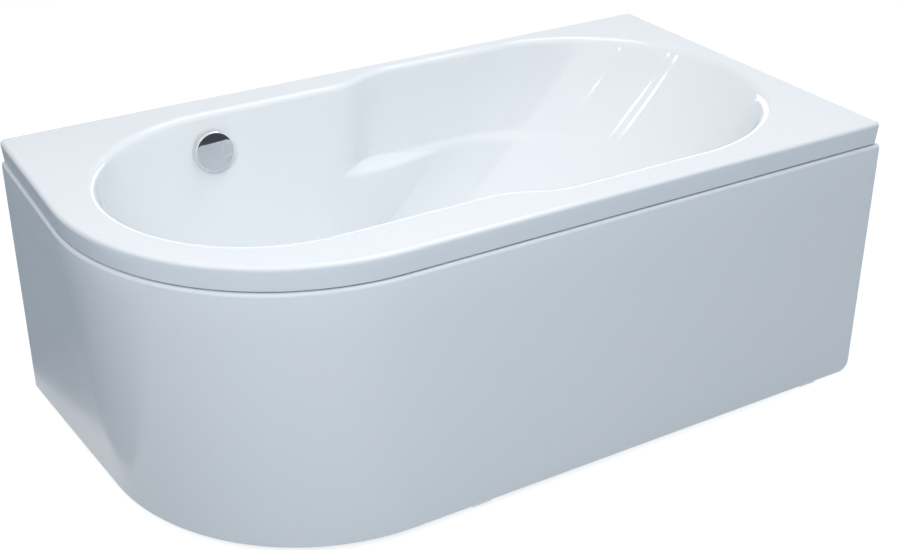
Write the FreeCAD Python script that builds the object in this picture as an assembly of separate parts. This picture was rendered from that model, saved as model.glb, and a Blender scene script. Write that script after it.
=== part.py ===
import FreeCAD, Part
import math
import os
from FreeCAD import Vector

os.makedirs("parts", exist_ok=True)

# Driving dimensions in millimetres and degrees.
# X runs from the foot end to the head end, Y from the room to the wall, Z up from the floor.

# Overall sizes of the bath
bath_length = 1500.0
bath_width = 800.0
basin_depth = 400.0
stand_height = 180.0
corner_radius = 455.0
edge_corner_radius = 14.0
rim_edge_radius = 9.0
lip_height = 45.0
lip_draft = 4.0
shell_wall = 5.0

# Basin: a foot half and a wider head half, joined by a waist
front_rim_width = 113.0
back_rim_width = 83.0
head_widening = 42.0
foot_rim_width = 82.0
head_rim_width = 42.0
rim_roll_radius = 14.0
floor_radius = 60.0
wall_draft = 10.0
recess_draft = 3.0
waist_start = -80.0
waist_end = 80.0
waist_lean = 60.0
ledge_drop = 200.0
ledge_blend = 34.0
backrest_run_share = 0.2573
backrest_curve_share = 0.3
least_waist_step = 0.01
roll_steps = 3
floor_steps = 4
ledge_shares = (0.5, 0.17, -0.17, -0.5)
lower_wall_share = 0.5
lower_head_share = 0.75
lower_waist_share = 0.8

# Apron panel
panel_thickness = 4.0
panel_gap = 3.0
panel_bottom = 20.0
panel_toe_angle = 5.4
panel_foot_radius = 425.0
panel_flange = 24.0
panel_edge_radius = 3.0
panel_low_corner = 22.0

# Base board and rim battens
board_thickness = 16.0
board_drain_gap = 70.0
board_head_inset = 500.0
board_margin = 20.0
board_corner = 40.0
batten_width = 38.0
batten_lip_gap = 0.4
front_batten_foot_gap = 55.0
front_batten_head_gap = 50.0
left_batten_front_gap = 20.0
left_batten_back_gap = 16.0

# Panel clips
clip_width = 30.0
clip_sheet = 2.0
clip_grip = 13.0
clip_tab = 20.0
clip_fit = 0.3
front_clip_shares = (0.06, 0.37, 0.68, 0.96)
left_clip_shares = (0.15, 0.85)
screw_fit = 0.05

# Frame of square tube
tube_size = 30.0
tube_wall = 2.0
tube_corner = 3.0
rail_inset = 260.0
rail_overhang = 15.0
foot_bar_inset = 150.0
middle_bar_share = 0.1
head_bar_inset = 110.0
foot_bar_overhang = 65.0
bar_front_inset = 46.0
bar_back_inset = 14.0
post_size = 20.0
post_wall = 1.5
post_pad = 5.0
post_pad_size = 26.0
back_post_inset = 30.0
front_post_inset = 62.0
bolt_radius = 4.0
bolt_head_radius = 7.0
bolt_head_height = 5.0
bolt_grip = 10.0

# Adjustable feet
foot_pad_radius = 22.0
foot_pad_height = 14.0
foot_pad_base = 5.0
foot_pad_neck = 11.0
stud_radius = 6.0
stud_overhang = 11.0
stud_hole_gap = 0.5
thread_fit = 0.08
nut_across = 19.0
weld_nut_height = 10.0
lock_nut_height = 7.0
foot_inset = 25.0
back_foot_inset = 65.0
front_foot_inset = 82.0

# Panel brackets
bracket_sheet = 3.0
bracket_width = 40.0
bracket_reach = 24.0
bracket_fit = 0.3
end_bracket_height = 40.0
end_bracket_low = 22.0
end_bracket_leg = 24.0
end_bracket_wall_gap = 1.0
end_bracket_panel_gap = 1.2
end_screw_inset = 16.0
end_screw_z = 38.0
end_screw_radius = 2.0
end_screw_head_radius = 4.5
end_screw_head_height = 1.3
end_screw_sink = 2.2
end_screw_tail = 6.0

# Overflow, on the wall-side wall of the basin near the foot end
overflow_run = 11.0
overflow_drop = 76.0
overflow_hole_radius = 26.0
rosette_radius = 30.0
rosette_thickness = 3.0
rosette_edge = 1.0
sleeve_radius = 25.0
sleeve_wall = 3.5
sleeve_reach = 12.0
sleeve_fit = 0.08
hub_radius = 8.0
spoke_width = 4.0
spoke_count = 3
knob_radius = 39.0
knob_gap = 2.5
knob_height = 17.0
knob_edge_radius = 6.0
knob_dome = 3.0
knob_wall = 3.0
knob_hub_radius = 9.0
spindle_radius = 5.0
spindle_fit = 0.06
spindle_grip = 6.0
gasket_thickness = 3.0
gasket_radius = 36.0
body_radius = 38.0
body_depth = 40.0
body_wall = 4.0
body_boss = 14.0

# Hose from the overflow to the waste
nipple_radius = 15.0
nipple_bore = 10.5
nipple_length = 26.0
hose_bend_radius = 125.0
hose_root_radius = 12.5
hose_rib_pitch = 17.0
rib_start_share = 0.2
rib_crest_share = 0.4
rib_end_share = 0.8
hose_nut_radius = 19.0
hose_nut_length = 22.0

# Waste set in the basin floor
drain_hole_radius = 26.0
drain_flange_radius = 35.0
drain_flange_thickness = 2.5
drain_sleeve_length = 30.0
drain_hub_height = 8.0
drain_hub_drop = 14.0
plug_radius = 31.0
plug_edge = 2.0
plug_dome = 4.5
plug_socket = 2.5
seal_inner_radius = 22.0
seal_radius = 30.0
seal_thickness = 2.5
seal_gap = 0.3
stem_radius = 4.0
stem_length = 46.0
stem_fit = 0.06
waste_radius = 34.0
waste_flange = 4.0
waste_neck_length = 22.0
waste_inlet_rise = 17.0
spigot_radius = 20.0
spigot_bore = 17.0
spigot_length = 18.0
spigot_fit = 0.06

# Trap and outlet
trap_radius = 42.0
trap_wall = 3.5
trap_height = 46.0
trap_neck_radius = 24.0
trap_neck_length = 13.0
trap_seat_gap = 8.0
trap_nut_radius = 30.0
trap_nut_lip = 4.0
trap_nut_gap = 0.5
trap_outlet_rise = 24.0
trap_outlet_length = 30.0
cap_radius = 34.0
cap_height = 8.0
cap_grip_width = 8.0
cap_grip_height = 5.0
cap_floor_gap = 13.0
outlet_wall_gap = 55.0
outlet_cuff_radius = 22.0
outlet_nut_radius = 28.0
outlet_nut_length = 26.0

# One overrun serves all cuts, and one slack the cut through the panel's ruled face
overrun = 1.0
boolean_slack = 0.001

# Places worked out from the sizes above
half_length = bath_length / 2
half_width = bath_width / 2
rim_height = stand_height + basin_depth
foot_half_width = (bath_width - front_rim_width - back_rim_width) / 2
head_half_width = foot_half_width + head_widening
basin_offset = (front_rim_width - back_rim_width) / 2
backrest_run = bath_length * backrest_run_share
overflow_x = -half_length + foot_rim_width + foot_half_width + overflow_run
end_screw_y = half_width - end_screw_inset
lip_bottom = rim_height - lip_height
rim_under = rim_height - shell_wall
floor_top = rim_height - basin_depth
floor_under = floor_top - shell_wall
ledge_level = rim_height - ledge_drop
panel_top = lip_bottom - panel_gap
board_under = floor_under - board_thickness
rail_under = board_under - tube_size
bar_under = rail_under - tube_size
draft_slope = math.tan(math.radians(wall_draft))
recess_slope = math.tan(math.radians(recess_draft))
up = Vector(0, 0, 1)
along = Vector(1, 0, 0)
inward = Vector(0, 1, 0)


def export(name, shape):
    shape.exportStep("parts/" + name + ".step")


def block(x0, x1, y0, y1, z0, z1):
    return Part.makeBox(x1 - x0, y1 - y0, z1 - z0, Vector(x0, y0, z0))


def rod(start, direction, radius, length):
    return Part.makeCylinder(radius, length, start, direction)


def ring(start, direction, outer, inner, length):
    bore_start = start - direction * overrun
    bore = rod(bore_start, direction, inner, length + 2 * overrun)
    return rod(start, direction, outer, length).cut(bore)


def hex_prism(centre, across, height):
    reach = across / math.sqrt(3)
    corners = []
    for i in range(7):
        angle = math.radians(60 * i)
        corners.append(centre + Vector(reach * math.cos(angle), reach * math.sin(angle), 0))
    face = Part.Face(Part.makePolygon(corners))
    return face.extrude(Vector(0, 0, height))


def turned(points, axis_point, axis):
    # A closed half outline turned all the way round its axis
    face = Part.Face(Part.makePolygon(points + points[:1]))
    return face.revolve(axis_point, axis, 360)


def dome_fall(radius, height, place):
    # How far a round dome has fallen from its crown at a place along its radius
    ball = (radius * radius + height * height) / (2 * height)
    return ball - math.sqrt(ball * ball - place * place)


def straight(a, b):
    return Part.LineSegment(a, b).toShape()


def arc(centre, radius, first, last, z):
    points = []
    for angle in (first, (first + last) / 2, last):
        turn = math.radians(angle)
        points.append(Vector(centre[0] + radius * math.cos(turn), centre[1] + radius * math.sin(turn), z))
    return Part.Arc(*points).toShape()


# Bath shell
def rim_outline(inset, z):
    left = -half_length + inset
    right = half_length - inset
    front = -half_width + inset
    back = half_width - inset
    big = corner_radius - inset
    small = edge_corner_radius - inset
    return Part.Wire([
        straight(Vector(left + big, front, z), Vector(right - small, front, z)),
        arc((right - small, front + small), small, -90, 0, z),
        straight(Vector(right, front + small, z), Vector(right, back - small, z)),
        arc((right - small, back - small), small, 0, 90, z),
        straight(Vector(right - small, back, z), Vector(left + small, back, z)),
        arc((left + small, back - small), small, 90, 180, z),
        straight(Vector(left, back - small, z), Vector(left, front + big, z)),
        arc((left + big, front + big), big, 180, 270, z),
    ])


def lip_inset(z):
    return lip_draft * (rim_height - z) / lip_height


def rim_tray():
    outer = Part.makeLoft([rim_outline(lip_inset(z), z) for z in (lip_bottom, rim_height)], True, True)
    top_edges = [e for e in outer.Edges if min(v.Z for v in e.Vertexes) > rim_under]
    outer = outer.makeFillet(rim_edge_radius, top_edges)
    low = lip_bottom - overrun
    levels = (low, rim_under)
    inner = Part.makeLoft([rim_outline(lip_inset(z) + shell_wall, z) for z in levels], True, True)
    return outer.cut(inner)


def smooth_step(t):
    t = min(max(t, 0.0), 1.0)
    return t * t * (3 - 2 * t)


def waist(x0, x1, y0, y1, z):
    # Two arcs in an S from one half width to the other, or a straight run where they are alike
    middle = Vector((x0 + x1) / 2, (y0 + y1) / 2, z)
    start = Vector(x0, y0, z)
    end = Vector(x1, y1, z)
    run = abs(x1 - x0) / 2
    rise = (y1 - y0) / 2
    if abs(rise) < least_waist_step:
        return [straight(start, middle), straight(middle, end)]
    radius = (run * run + rise * rise) / (2 * abs(rise))
    bulge = radius - math.sqrt(radius * radius - run * run / 4)
    side = math.copysign(bulge, rise)
    quarter = (x1 - x0) / 4
    near = Vector(x0 + quarter, y0 + side, z)
    far = Vector(x1 - quarter, y1 - side, z)
    return [Part.Arc(start, near, middle).toShape(), Part.Arc(middle, far, end).toShape()]


def basin_outline(z, spread, ledge):
    depth = rim_height - z
    depth_share = depth / basin_depth
    foot = foot_half_width - depth * draft_slope
    recess = head_half_width - depth * recess_slope
    # Below the armrest ledges the wall flares out in one long S, so the ledges run out towards the head
    above = smooth_step((z - ledge) / ledge_blend + 0.5)
    head = foot + (recess - foot) * (lower_head_share + (1 - lower_head_share) * above)
    sweep_share = (1 - backrest_curve_share) * depth_share + backrest_curve_share * depth_share ** 2
    tip = half_length - head_rim_width - backrest_run * sweep_share + spread
    toe = -half_length + foot_rim_width + depth * draft_slope - spread
    foot += spread
    head += spread
    heel = toe + foot
    crown = tip - head
    x0 = waist_start - waist_lean * depth_share
    lower_x1 = x0 + (crown - x0) * lower_waist_share
    x1 = lower_x1 + (waist_end - waist_lean * depth_share - lower_x1) * above
    mid = basin_offset
    edges = [arc((heel, mid), foot, 180, 270, z)]
    edges.append(straight(Vector(heel, mid - foot, z), Vector(x0, mid - foot, z)))
    edges += waist(x0, x1, mid - foot, mid - head, z)
    edges.append(straight(Vector(x1, mid - head, z), Vector(crown, mid - head, z)))
    edges += [arc((crown, mid), head, -90, 0, z), arc((crown, mid), head, 0, 90, z)]
    edges.append(straight(Vector(crown, mid + head, z), Vector(x1, mid + head, z)))
    edges += waist(x1, x0, mid + head, mid + foot, z)
    edges.append(straight(Vector(x0, mid + foot, z), Vector(heel, mid + foot, z)))
    edges.append(arc((heel, mid), foot, 90, 180, z))
    return Part.Wire(edges)


def basin(grow):
    # The hollow when grow is zero, and the outside of its wall when grow is the wall
    top = rim_height - grow
    roll = rim_roll_radius - grow
    low = floor_top - grow
    fillet = floor_radius + grow
    ledge = ledge_level - grow
    levels = []
    if grow == 0:
        levels.append((top + overrun, roll))
    for i in range(roll_steps + 1):
        turn = math.radians(90 * (1 - i / roll_steps))
        levels.append((top - roll + roll * math.sin(turn), grow + roll * (1 - math.cos(turn))))
    for share in ledge_shares:
        levels.append((ledge + ledge_blend * share, grow))
    under_ledge = ledge - ledge_blend / 2
    levels.append((under_ledge + (low + fillet - under_ledge) * lower_wall_share, grow))
    for i in range(floor_steps + 1):
        turn = math.radians(90 * i / floor_steps)
        levels.append((low + fillet - fillet * math.sin(turn), grow - fillet * (1 - math.cos(turn))))
    return Part.makeLoft([basin_outline(z, spread, ledge) for z, spread in levels], True, True)


def overflow_point():
    z = rim_height - overflow_drop
    return Vector(overflow_x, basin_offset + foot_half_width - overflow_drop * draft_slope, z)


def seat_on_wall(shape):
    # From a drawing whose axis is -Y, with the basin's wall face at zero, to the sloped wall
    seated = shape.copy()
    seated.rotate(Vector(0, 0, 0), along, -wall_draft)
    seated.translate(overflow_point())
    return seated


def wall_rod(radius, low, high):
    return rod(Vector(0, -low, 0), -inward, radius, high - low)


wall_depth = shell_wall * math.cos(math.radians(wall_draft))
drain_centre = Vector(overflow_x, basin_offset, 0)


def bath_shell():
    shell = rim_tray().fuse(basin(shell_wall)).cut(basin(0))
    drain_start = drain_centre + up * (floor_under - overrun)
    shell = shell.cut(rod(drain_start, up, drain_hole_radius, shell_wall + 2 * overrun))
    shell = shell.cut(seat_on_wall(wall_rod(overflow_hole_radius, -wall_depth - body_depth, overrun)))
    return shell.cut(seat_on_wall(wall_rod(rosette_radius + overrun, 0, rosette_thickness)))


shell = bath_shell()
export("bath_shell", shell)


# Apron panel: a wall that toes in towards its lower left, with a flange turned in along the top
def panel_run(toe, radius, depth, z):
    # The run of the panel's face from just past the wall at the foot end to the wall at the head end
    lean = math.radians(toe)
    normal = Vector(math.cos(lean), math.sin(lean), 0)
    centre_y = -half_width + radius
    left = -half_length + (half_width - centre_y) * math.tan(lean)
    centre = Vector(left + radius / math.cos(lean), centre_y, z)
    reach = radius - depth
    start_x = -half_length + depth / math.cos(lean) - overrun * math.tan(lean)
    start = Vector(start_x, half_width + overrun, z)
    first = centre - normal * reach
    last = Vector(centre.x, -half_width + depth, z)
    diagonal = normal + inward
    middle = centre - diagonal.normalize() * reach
    end = Vector(half_length, -half_width + depth, z)
    return start, first, middle, last, end


def panel_strip(toe, radius, near, far, z):
    a = panel_run(toe, radius, near, z)
    b = panel_run(toe, radius, far, z)
    face_run = [straight(a[0], a[1]), Part.Arc(a[1], a[2], a[3]).toShape(), straight(a[3], a[4])]
    back_run = [straight(b[4], b[3]), Part.Arc(b[3], b[2], b[1]).toShape(), straight(b[1], b[0])]
    return Part.Wire(face_run + [straight(a[4], b[4])] + back_run + [straight(b[0], a[0])])


def end_screw_face():
    # X of the panel's face at the end screw
    lean = math.tan(math.radians(panel_toe_angle)) * (half_width - end_screw_y)
    return -half_length + lean * (panel_top - end_screw_z) / (panel_top - panel_bottom)


def end_screw_hole():
    start = Vector(-half_length - overrun, end_screw_y, end_screw_z)
    sink_end = end_screw_face() + end_screw_sink - end_screw_head_height
    hole_end = end_screw_face() + 2 * panel_thickness
    hole = rod(start, along, end_screw_radius + screw_fit, hole_end - start.x)
    return hole.fuse(rod(start, along, end_screw_head_radius + clip_fit, sink_end - start.x))


def front_panel():
    low = panel_strip(panel_toe_angle, panel_foot_radius, 0, panel_thickness, panel_bottom)
    high = panel_strip(0, corner_radius, 0, panel_thickness, panel_top)
    wall = Part.makeLoft([low, high], True, True)
    flange_low = panel_top - panel_thickness
    strip = panel_strip(0, corner_radius, panel_thickness / 2, panel_flange, flange_low)
    flange = Part.Face(strip).extrude(up * panel_thickness)
    beyond = block(-half_length - panel_flange, 0, half_width, half_width + panel_flange, 0, rim_height)
    panel = wall.fuse(flange).removeSplitter().cut(beyond)
    # The outer top edge, along the left end, the rounded corner and the front, is rounded over
    top_run = panel_run(0, corner_radius, 0, panel_top)
    left_x = top_run[1].x
    front_y = top_run[3].y
    centre = Vector(top_run[3].x, top_run[1].y, panel_top)
    edges = []
    for edge in panel.Edges:
        middle = edge.valueAt((edge.FirstParameter + edge.LastParameter) / 2)
        if middle.z < panel_top - clip_fit:
            continue
        on_left = abs(middle.x - left_x) < clip_fit
        on_front = abs(middle.y - front_y) < clip_fit
        on_arc = abs(middle.distanceToPoint(centre) - corner_radius) < clip_fit
        if on_left or on_front or on_arc:
            edges.append(edge)
    panel = panel.makeFillet(panel_edge_radius, edges)
    corner = [e for e in panel.Edges
              if max(v.Z for v in e.Vertexes) < panel_bottom + clip_fit
              and min(v.X for v in e.Vertexes) > half_length - clip_fit]
    panel = panel.makeFillet(panel_low_corner, corner)
    return panel.cut([end_screw_hole()], boolean_slack)


export("front_panel", front_panel())


# Timber battens bonded under the rim
batten_face = lip_inset(lip_bottom) + shell_wall + batten_lip_gap
batten_back = batten_face + batten_width
front_batten_start = -half_length + corner_radius + front_batten_foot_gap
front_batten_end = half_length - front_batten_head_gap
left_batten_start = -half_width + corner_radius + left_batten_front_gap
left_batten_end = half_width - left_batten_back_gap
export("front_batten", block(front_batten_start, front_batten_end, -half_width + batten_face,
                             -half_width + batten_back, lip_bottom, rim_under))
export("left_batten", block(-half_length + batten_face, -half_length + batten_back,
                            left_batten_start, left_batten_end, lip_bottom, rim_under))


def panel_clip():
    # A bent strip whose tab lies up under the batten and whose lower leg grips the panel's flange
    grip_z = panel_top - panel_thickness - clip_fit
    web = panel_flange + clip_fit
    tab = web + clip_sheet + clip_tab
    points = [
        Vector(0, web - clip_grip, panel_top), Vector(0, web, panel_top), Vector(0, web, grip_z),
        Vector(0, web - clip_grip, grip_z), Vector(0, web - clip_grip, grip_z - clip_sheet),
        Vector(0, web + clip_sheet, grip_z - clip_sheet), Vector(0, web + clip_sheet, panel_top),
        Vector(0, tab, panel_top), Vector(0, tab, lip_bottom), Vector(0, web - clip_grip, lip_bottom),
    ]
    face = Part.Face(Part.makePolygon(points + points[:1]))
    clip = face.extrude(along * clip_width)
    clip.translate(Vector(-clip_width / 2, 0, 0))
    return clip


clips = []
for share in front_clip_shares:
    x = front_batten_start + (front_batten_end - front_batten_start) * share
    clip = panel_clip()
    clip.translate(Vector(x, -half_width, 0))
    clips.append(clip)
for share in left_clip_shares:
    y = left_batten_start + (left_batten_end - left_batten_start) * share
    clip = panel_clip()
    clip.rotate(Vector(0, 0, 0), up, -90)
    clip.translate(Vector(-half_length, y, 0))
    clips.append(clip)
export("panel_clips", Part.makeCompound(clips))


# Frame
def drilled(shape, points, radius, length):
    for point in points:
        shape = shape.cut(rod(point - up * overrun, up, radius, length + overrun))
    return shape


rail_spacing = bath_width - 2 * rail_inset
rail_front_y = basin_offset - rail_spacing / 2
rail_back_y = basin_offset + rail_spacing / 2
foot_bar_x = -half_length + foot_bar_inset
middle_bar_x = -bath_length * middle_bar_share
head_bar_x = half_length - head_bar_inset
foot_bar_front = rail_front_y - foot_bar_overhang
front_bar_end = -half_width + bar_front_inset
back_bar_end = half_width - bar_back_inset
rail_start = foot_bar_x - rail_overhang
rail_end = head_bar_x + rail_overhang


def square_tube(x0, x1, y0, y1, z0, z1, wall, direction):
    outer = block(x0, x1, y0, y1, z0, z1)
    edges = []
    for edge in outer.Edges:
        run = edge.Vertexes[1].Point - edge.Vertexes[0].Point
        if abs(run.dot(direction)) > run.Length - screw_fit:
            edges.append(edge)
    outer = outer.makeFillet(min(tube_corner, wall), edges)
    skip = Vector(wall - (wall + overrun) * direction.x, wall - (wall + overrun) * direction.y,
                  wall - (wall + overrun) * direction.z)
    inner = block(x0 + skip.x, x1 - skip.x, y0 + skip.y, y1 - skip.y, z0 + skip.z, z1 - skip.z)
    return outer.cut(inner)


def bolt_points():
    points = []
    for x in (foot_bar_x, middle_bar_x, head_bar_x):
        for y in (rail_front_y, rail_back_y):
            points.append(Vector(x, y, bar_under))
    return points


def rail(y):
    tube = square_tube(rail_start, rail_end, y - tube_size / 2, y + tube_size / 2, rail_under, board_under,
                       tube_wall, along)
    bolts = [p + up * tube_size for p in bolt_points() if p.y == y]
    return drilled(tube, bolts, bolt_radius + screw_fit, bolt_grip + overrun)


export("frame_rail_front", rail(rail_front_y))
export("frame_rail_back", rail(rail_back_y))

back_foot_y = half_width - back_foot_inset
foot_points = [
    Vector(foot_bar_x, foot_bar_front + foot_inset, 0), Vector(foot_bar_x, back_foot_y, 0),
    Vector(middle_bar_x, basin_offset, 0),
    Vector(head_bar_x, -half_width + front_foot_inset, 0), Vector(head_bar_x, back_foot_y, 0),
]


def crossbar(x, front, back):
    tube = square_tube(x - tube_size / 2, x + tube_size / 2, front, back, bar_under, rail_under,
                       tube_wall, inward)
    bolts = [p for p in bolt_points() if p.x == x]
    tube = drilled(tube, bolts, bolt_radius + screw_fit, tube_size + overrun)
    studs = [p + up * bar_under for p in foot_points if p.x == x]
    return drilled(tube, studs, stud_radius + stud_hole_gap, tube_size + overrun)


export("crossbar_foot", crossbar(foot_bar_x, foot_bar_front, back_bar_end))
export("crossbar_middle", crossbar(middle_bar_x, front_bar_end, back_bar_end))
export("crossbar_head", crossbar(head_bar_x, front_bar_end, back_bar_end))

bolts = []
for point in bolt_points():
    head = hex_prism(point - up * bolt_head_height, bolt_head_radius * 2, bolt_head_height)
    bolts.append(head.fuse(rod(point, up, bolt_radius, tube_size + bolt_grip)))
export("frame_bolts", Part.makeCompound(bolts))

board = block(overflow_x + board_drain_gap, half_length - board_head_inset, rail_front_y - board_margin,
              rail_back_y + board_margin, board_under, floor_under)
board_edges = [e for e in board.Edges if abs(e.Vertexes[0].Z - e.Vertexes[1].Z) > screw_fit]
export("base_board", board.makeFillet(board_corner, board_edges))

back_post_y = half_width - back_post_inset
front_post_y = -half_width + front_post_inset
post_places = {
    "rim_post_back_foot": (foot_bar_x, back_post_y),
    "rim_post_front": (middle_bar_x, front_post_y),
    "rim_post_front_head": (head_bar_x, front_post_y),
    "rim_post_back_head": (head_bar_x, back_post_y),
}
pads = []
for name, (x, y) in post_places.items():
    half = post_size / 2
    pad_low = rim_under - post_pad
    export(name, square_tube(x - half, x + half, y - half, y + half, rail_under, pad_low, post_wall, up))
    half = post_pad_size / 2
    pads.append(block(x - half, x + half, y - half, y + half, pad_low, rim_under))
export("post_pads", Part.makeCompound(pads))


# Adjustable feet: a threaded stud, drawn plain, that screws through its nuts
def foot_pad(point):
    points = [
        Vector(0, 0, 0), Vector(foot_pad_radius, 0, 0), Vector(foot_pad_radius, 0, foot_pad_base),
        Vector(foot_pad_neck, 0, foot_pad_height), Vector(0, 0, foot_pad_height),
    ]
    pad = turned(points, Vector(0, 0, 0), up)
    pad = pad.cut(rod(up * foot_pad_base, up, stud_radius + thread_fit, foot_pad_height))
    pad.translate(point)
    return pad


stud_length = rail_under + stud_overhang - foot_pad_base
weld_nuts = []
lock_nuts = []
for i, point in enumerate(foot_points):
    number = str(i + 1)
    export("foot_stud_" + number, rod(point + up * foot_pad_base, up, stud_radius, stud_length))
    export("foot_pad_" + number, foot_pad(point))
    for nuts, low, height in (
        (weld_nuts, bar_under - weld_nut_height, weld_nut_height),
        (lock_nuts, bar_under - weld_nut_height - lock_nut_height, lock_nut_height),
    ):
        seat = point + up * low
        nut = hex_prism(seat, nut_across, height)
        nuts.append(drilled(nut, [seat], stud_radius + thread_fit, height + overrun))
export("weld_nuts", Part.makeCompound(weld_nuts))
export("lock_nuts", Part.makeCompound(lock_nuts))


# Panel brackets: each hangs from a crossbar's front end and carries the panel's lower edge on its toe
def panel_bracket(x):
    face_y = -half_width + panel_thickness + bracket_fit
    toe_z = panel_bottom - bracket_sheet
    back = front_bar_end + bracket_reach
    shelf = bar_under - bracket_sheet
    points = [
        Vector(x, -half_width, toe_z), Vector(x, face_y + bracket_sheet, toe_z),
        Vector(x, face_y + bracket_sheet, shelf), Vector(x, back, shelf), Vector(x, back, bar_under),
        Vector(x, face_y, bar_under), Vector(x, face_y, panel_bottom), Vector(x, -half_width, panel_bottom),
    ]
    bracket = Part.Face(Part.makePolygon(points + points[:1])).extrude(along * bracket_width)
    bracket.translate(along * (-bracket_width / 2))
    return bracket


export("panel_brackets", Part.makeCompound([panel_bracket(x) for x in (middle_bar_x, head_bar_x)]))

# End bracket: an angle against the wall that the panel's end is screwed to
end_leg_x = end_screw_face() + panel_thickness + end_bracket_panel_gap
end_back_y = half_width - end_bracket_wall_gap
end_leg = block(end_leg_x, end_leg_x + bracket_sheet, end_back_y - end_bracket_leg, end_back_y,
                end_bracket_low, end_bracket_low + end_bracket_height)
end_flat = block(end_leg_x, end_leg_x + end_bracket_leg, end_back_y - bracket_sheet, end_back_y,
                 end_bracket_low, end_bracket_low + end_bracket_height)
end_head_x = end_screw_face() + end_screw_sink - end_screw_head_height
end_axis = Vector(end_head_x, end_screw_y, end_screw_z)
end_length = end_leg_x + bracket_sheet + end_screw_tail - end_head_x
end_hole = rod(end_axis, along, end_screw_radius + screw_fit, end_length)
export("end_bracket", end_leg.fuse(end_flat).removeSplitter().cut(end_hole))
end_head = rod(end_axis - along * end_screw_head_height, along, end_screw_head_radius, end_screw_head_height)
export("end_screw", end_head.fuse(rod(end_axis, along, end_screw_radius, end_length)))

# Overflow set, drawn about -Y with the basin's wall face at zero
body_front = -wall_depth - gasket_thickness
body_back = body_front - body_depth
body_middle = (body_front + body_back) / 2
nipple_end = -(body_radius + nipple_length)


def spokes(inner, outer, low, high):
    # Flat arms between a hub and a sleeve, spread evenly round the axis
    arms = []
    for i in range(spoke_count):
        arm = block(inner, outer, -high, -low, -spoke_width / 2, spoke_width / 2)
        arm.rotate(Vector(0, 0, 0), inward, 90 + 360 * i / spoke_count)
        arms.append(arm)
    return arms


def overflow_rosette():
    flange = wall_rod(rosette_radius, 0, rosette_thickness)
    front = [e for e in flange.Edges if e.BoundBox.YMax < -rosette_thickness + screw_fit]
    flange = flange.makeFillet(rosette_edge, front)
    sleeve_back = body_front - sleeve_reach
    sleeve = wall_rod(sleeve_radius, sleeve_back, 0)
    inside = sleeve_radius - sleeve_wall
    ferrule = flange.fuse(sleeve).cut(wall_rod(inside, sleeve_back - overrun, rosette_thickness + overrun))
    hub = wall_rod(hub_radius, body_front, rosette_thickness)
    for arm in spokes(hub_radius / 2, inside + sleeve_wall / 2, body_front, rosette_thickness - rosette_edge):
        hub = hub.fuse(arm)
    bore = wall_rod(spindle_radius + spindle_fit, body_back, rosette_thickness + overrun)
    return ferrule.fuse(hub).removeSplitter().cut(bore)


def overflow_body():
    cup = wall_rod(body_radius, body_back, body_front)
    nipple_start = Vector(0, -body_middle, 0)
    cup = cup.fuse(rod(nipple_start, -up, nipple_radius, -nipple_end))
    cup = cup.cut(wall_rod(sleeve_radius + sleeve_fit, body_back + body_wall, body_front + overrun))
    cup = cup.cut(rod(nipple_start, -up, nipple_bore, overrun - nipple_end))
    boss = wall_rod(knob_hub_radius, body_back + body_wall / 2, body_back + body_boss)
    bore = wall_rod(spindle_radius + spindle_fit, body_back + body_wall, body_back + body_boss + overrun)
    return cup.fuse(boss).cut(bore)


knob_back = rosette_thickness + knob_gap
knob_front = knob_back + knob_height


def overflow_knob():
    shoulder = knob_front - knob_dome
    edge = knob_radius - knob_edge_radius
    turn = math.sin(math.radians(45))
    inner_front = shoulder - knob_wall
    inner_radius = knob_radius - knob_wall
    hub_end = knob_back + spindle_grip

    def at(radius, height):
        return Vector(radius, -height, 0)

    outline = Part.Wire([
        straight(at(0, hub_end), at(0, knob_front)),
        Part.Arc(at(0, knob_front), at(edge / 2, knob_front - dome_fall(edge, knob_dome, edge / 2)),
                 at(edge, shoulder)).toShape(),
        Part.Arc(at(edge, shoulder),
                 at(edge + knob_edge_radius * turn, shoulder - knob_edge_radius * (1 - turn)),
                 at(knob_radius, shoulder - knob_edge_radius)).toShape(),
        straight(at(knob_radius, shoulder - knob_edge_radius), at(knob_radius, knob_back)),
        straight(at(knob_radius, knob_back), at(inner_radius, knob_back)),
        straight(at(inner_radius, knob_back), at(inner_radius, inner_front - knob_wall)),
        straight(at(inner_radius, inner_front - knob_wall), at(edge, inner_front)),
        straight(at(edge, inner_front), at(knob_hub_radius, inner_front)),
        straight(at(knob_hub_radius, inner_front), at(knob_hub_radius, knob_back)),
        straight(at(knob_hub_radius, knob_back), at(spindle_radius + screw_fit, knob_back)),
        straight(at(spindle_radius + screw_fit, knob_back), at(spindle_radius + screw_fit, hub_end)),
        straight(at(spindle_radius + screw_fit, hub_end), at(0, hub_end)),
    ])
    return Part.Face(outline).revolve(Vector(0, 0, 0), inward, 360)


export("overflow_rosette", seat_on_wall(overflow_rosette()))
export("overflow_body", seat_on_wall(overflow_body()))
export("overflow_knob", seat_on_wall(overflow_knob()))
spindle = wall_rod(spindle_radius, body_back + body_wall, knob_back + spindle_grip)
export("overflow_spindle", seat_on_wall(spindle))
gasket_front = Vector(0, -body_front, 0)
export("overflow_gasket", seat_on_wall(ring(gasket_front, -inward, gasket_radius, overflow_hole_radius,
                                            gasket_thickness)))

# Waste set
waste_top = floor_under - gasket_thickness
trap_low = cap_floor_gap + cap_height
trap_top = trap_low + trap_height
trap_neck_top = trap_top + trap_neck_length
waste_low = trap_neck_top + trap_seat_gap
inlet_z = waste_low + waste_inlet_rise
inlet_end_y = basin_offset + waste_radius + nipple_length
flange_top = floor_top + drain_flange_thickness
plug_under = flange_top + seal_gap + seal_thickness


def at_drain(z):
    return drain_centre + up * z


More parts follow.
